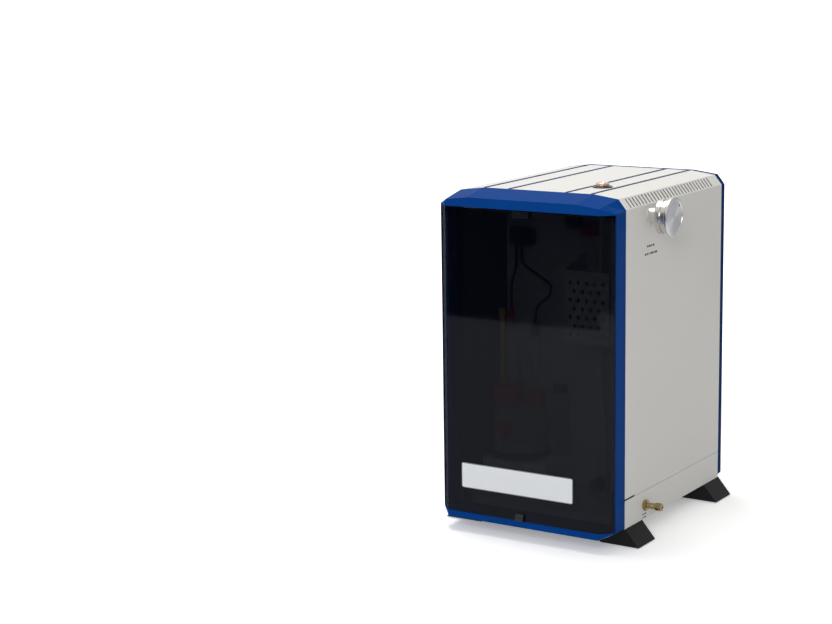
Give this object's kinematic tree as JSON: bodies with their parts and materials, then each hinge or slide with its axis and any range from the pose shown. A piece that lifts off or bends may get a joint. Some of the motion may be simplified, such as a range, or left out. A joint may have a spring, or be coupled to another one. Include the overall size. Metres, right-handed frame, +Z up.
{
  "type": "karl fischer titrator",
  "caption": "Bench-top water titrator: folded sheet case on two splayed feet, tinted swing door over a cell cabin, side knob, gas inlet and roof injection port.",
  "frame": {"origin": "centre of the footprint, on the bench", "axes": "+Z up, the door faces -Y, +X is the side with the knob"},
  "size_m": [0.304, 0.347, 0.4583],
  "materials": {
    "case_paint": "fine-textured warm white powder coat",
    "blue_paint": "satin blue powder coat",
    "black_paint": "matt black powder coat",
    "tinted_sheet": "dark tinted, clear and polished",
    "white_plate": "smooth semi-gloss, bare",
    "black_plastic": "fine-grained",
    "white_plastic": "smooth",
    "red_plastic": "smooth, fluted",
    "yellow_plastic": "smooth",
    "turned_aluminium": "fine turning marks",
    "steel": "bright, plated",
    "brass": "turned",
    "rubber": "matt",
    "liner_paint": "satin light grey coat",
    "clear_glass": "clear",
    "magnet": "ground",
    "lead_sheath": "flexible sheath",
    "tube_plastic": "translucent",
    "circuit_green": "solder-masked board"
  },
  "bodies": {
    "cabinet": {"outer_shell": "case_paint", "roof_trim_strips": "blue_paint", "base_pan": "case_paint", "front_frame": "blue_paint", "rear_frame": "blue_paint", "rear_panel": "case_paint", "foot_bars": "black_paint", "foot_pads": "rubber", "case_screws": "steel", "cabin_liner": "liner_paint", "cabin_floor": "liner_paint", "cabin_ceiling": "liner_paint", "door_magnet": "magnet", "selector_valve": "black_plastic", "gas_inlet": "brass", "gas_tube": "tube_plastic", "injection_port": "brass", "septum": "rubber", "transfer_tubes": "tube_plastic", "stirrer_housing": "white_plastic", "stirrer_motor": "steel", "cell_seat": "black_plastic", "cell_vessel": "clear_glass", "large_cap": "red_plastic", "small_cap": "red_plastic", "front_cap": "red_plastic", "generator_electrode": "clear_glass", "generator_plug": "red_plastic", "drying_tube": "yellow_plastic", "detector_electrode": "clear_glass", "detector_head": "black_plastic", "wall_gland": "black_plastic", "electrode_leads": "lead_sheath", "trap_bottle": "clear_glass", "trap_cap": "black_plastic", "oven_guard": "steel", "oven_block": "turned_aluminium", "terminal_block": "circuit_green", "changeover_valve": "red_plastic", "flow_regulator": "turned_aluminium", "fan_housing": "black_plastic", "fan_guard": "steel", "mains_inlet": "black_plastic", "data_socket": "steel", "power_supply": "steel", "control_board": "circuit_green"},
    "door": {"door_panel": "tinted_sheet", "door_plate": "white_plate", "door_pins": "steel", "door_strike": "steel", "door_pull": "black_plastic"},
    "knob": {"selector_knob": "turned_aluminium", "knob_spindle": "steel"},
    "coupling_nut": {"gas_coupling_nut": "brass"},
    "port_nut": {"septum_nut": "brass"},
    "stirrer_drive": {"drive_magnet": "magnet"},
    "stirring_bar": {"stir_bar": "white_plastic"},
    "rotor": {"fan_rotor": "black_plastic"},
    "rocker": {"power_rocker": "black_plastic"},
    "regulator_dial": {"regulator_knob": "black_plastic"}
  },
  "joints": [
    {"name": "door_hinge", "type": "hinge", "parent": "cabinet", "child": "door", "pos_m": [-0.12784, -0.15773, 0.229], "axis": [0, 0, -1], "range_deg": [0, 110]},
    {"name": "knob_turn", "type": "hinge", "parent": "cabinet", "child": "knob", "pos_m": [0.117, -0.0589, 0.42], "axis": [1, 0, 0], "range_deg": [0, 90]},
    {"name": "coupling_nut_turn", "type": "hinge", "parent": "cabinet", "child": "coupling_nut", "pos_m": [0.139, -0.0679, 0.042], "axis": [1, 0, 0], "range_deg": [0, 360]},
    {"name": "port_nut_turn", "type": "hinge", "parent": "cabinet", "child": "port_nut", "pos_m": [0.05, -0.0589, 0.456], "axis": [0, 0, 1], "range_deg": [0, 360]},
    {"name": "magnet_spin", "type": "hinge", "parent": "cabinet", "child": "stirrer_drive", "pos_m": [-0.079, -0.0499, 0.074], "axis": [0, 0, 1], "continuous": true},
    {"name": "bar_spin", "type": "hinge", "parent": "cabinet", "child": "stirring_bar", "pos_m": [-0.079, -0.0499, 0.0898], "axis": [0, 0, 1], "continuous": true},
    {"name": "fan_spin", "type": "hinge", "parent": "cabinet", "child": "rotor", "pos_m": [-0.063, 0.1466, 0.354], "axis": [0, 1, 0], "continuous": true},
    {"name": "rocker_tilt", "type": "hinge", "parent": "cabinet", "child": "rocker", "pos_m": [0.062, 0.1561, 0.159], "axis": [-1, 0, 0], "range_deg": [0, 20]},
    {"name": "regulator_turn", "type": "hinge", "parent": "cabinet", "child": "regulator_dial", "pos_m": [0.047, -0.0579, 0.0579], "axis": [0, -1, 0], "range_deg": [0, 270]}
  ],
  "couplings": [
    {"joint": "bar_spin", "follows": "magnet_spin", "ratio": 1}
  ]
}
